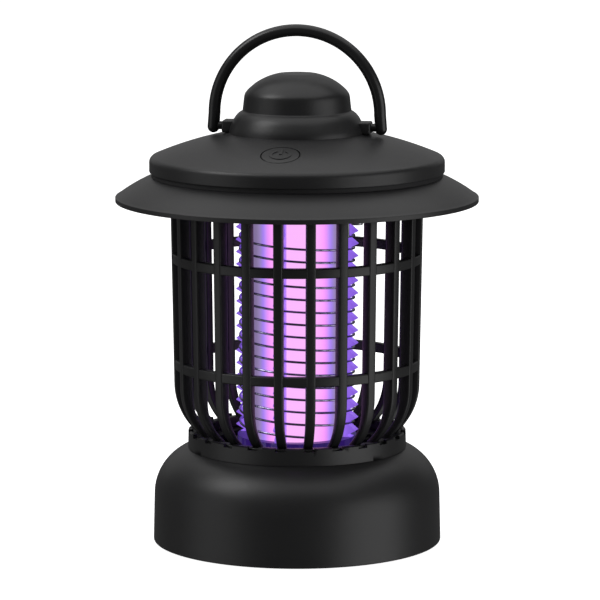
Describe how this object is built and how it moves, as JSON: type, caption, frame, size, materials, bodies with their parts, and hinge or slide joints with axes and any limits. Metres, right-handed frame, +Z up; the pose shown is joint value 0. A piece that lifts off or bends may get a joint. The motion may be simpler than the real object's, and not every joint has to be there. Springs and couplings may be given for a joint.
{
  "type": "bug zapper lantern",
  "caption": "Cordless lantern-style electric insect killer: round tray base, ribbed cage round a glowing tube and wire grid, brimmed roof with power button, domed top and swinging bail handle.",
  "frame": {"origin": "centre of the plane that the rubber feet rest on", "axes": "+Z up along the lantern's axis; -Y towards the front, where the power button is; +X to the right seen from the front"},
  "size_m": [0.1324, 0.1324, 0.1903],
  "materials": {
    "black_shell": "fine satin moulded grain",
    "black_cap": "fine satin moulded grain",
    "black_handle": "smooth satin",
    "dark_rubber": "matte",
    "steel": "bright zinc plated",
    "grid_wire": "drawn stainless",
    "lamp_diffuser": "translucent violet diffuser, lit",
    "grid_post": "translucent violet, lit by the lamp",
    "violet_plastic": "dark translucent violet",
    "circuit_board": "solder mask",
    "white_board": "white solder mask",
    "led_lens": "clear lens",
    "cell_wrap": "shrink wrap",
    "lead_insulation": "smooth",
    "ferrite": "wound and taped",
    "capacitor_case": "dipped",
    "switch_case": "moulded",
    "switch_red": "moulded"
  },
  "bodies": {
    "tray": {"tray_shell": "black_shell", "tray_floor": "black_shell", "foot_pads": "dark_rubber", "floor_screws": "steel"},
    "lantern": {"collar_ring": "black_shell", "collar_screws": "steel", "cage": "black_shell", "core_base": "violet_plastic", "core_screws": "steel", "lamp_tube": "lamp_diffuser", "led_board": "white_board", "uv_leds": "led_lens", "grid_post_1": "grid_post", "grid_post_2": "grid_post", "grid_post_3": "grid_post", "grid_post_4": "grid_post", "grid_wire_a": "grid_wire", "grid_wire_b": "grid_wire", "grid_terminals": "steel", "core_cap": "black_shell", "cap_screws": "steel", "brim_shell": "black_shell", "head_screws": "steel", "roof_gasket": "dark_rubber", "roof_cover": "black_shell", "shoulder_cap": "black_cap", "shoulder_screws": "steel", "dome_cap": "black_cap", "battery_holder": "switch_case", "battery_cell": "cell_wrap", "battery_leads": "lead_insulation", "control_board": "circuit_board", "hv_transformer": "ferrite", "hv_capacitor": "capacitor_case", "charge_board": "circuit_board", "usb_socket": "steel", "button_board": "circuit_board", "switch_body": "switch_case", "button_spring": "steel"},
    "handle": {"handle": "black_handle"},
    "power_button": {"power_button": "black_cap"},
    "switch_plunger": {"switch_plunger": "switch_red"},
    "port_cover": {"port_cover": "dark_rubber"}
  },
  "joints": [
    {"name": "lantern_lift", "type": "slide", "parent": "tray", "child": "lantern", "axis": [0, 0, 1], "range_m": [0, 0.045]},
    {"name": "handle_swing", "type": "hinge", "parent": "lantern", "child": "handle", "pos_m": [0, 0, 0.1531], "axis": [1, 0, 0], "range_deg": [-92, 92]},
    {"name": "button_press", "type": "slide", "parent": "lantern", "child": "power_button", "axis": [0, 0.2933, -0.956], "range_m": [0, 0.0006], "stiffness_N_per_m": 400, "springref_m": -0.002, "deforming": ["button_spring"]},
    {"name": "switch_press", "type": "slide", "parent": "lantern", "child": "switch_plunger", "axis": [0, 0.2933, -0.956], "range_m": [0, 0.0006]},
    {"name": "port_open", "type": "hinge", "parent": "lantern", "child": "port_cover", "pos_m": [0, 0.05325, 0.1378], "axis": [-1, 0, 0], "range_deg": [0, 95]}
  ],
  "couplings": [
    {"joint": "switch_press", "follows": "button_press", "ratio": 1}
  ]
}
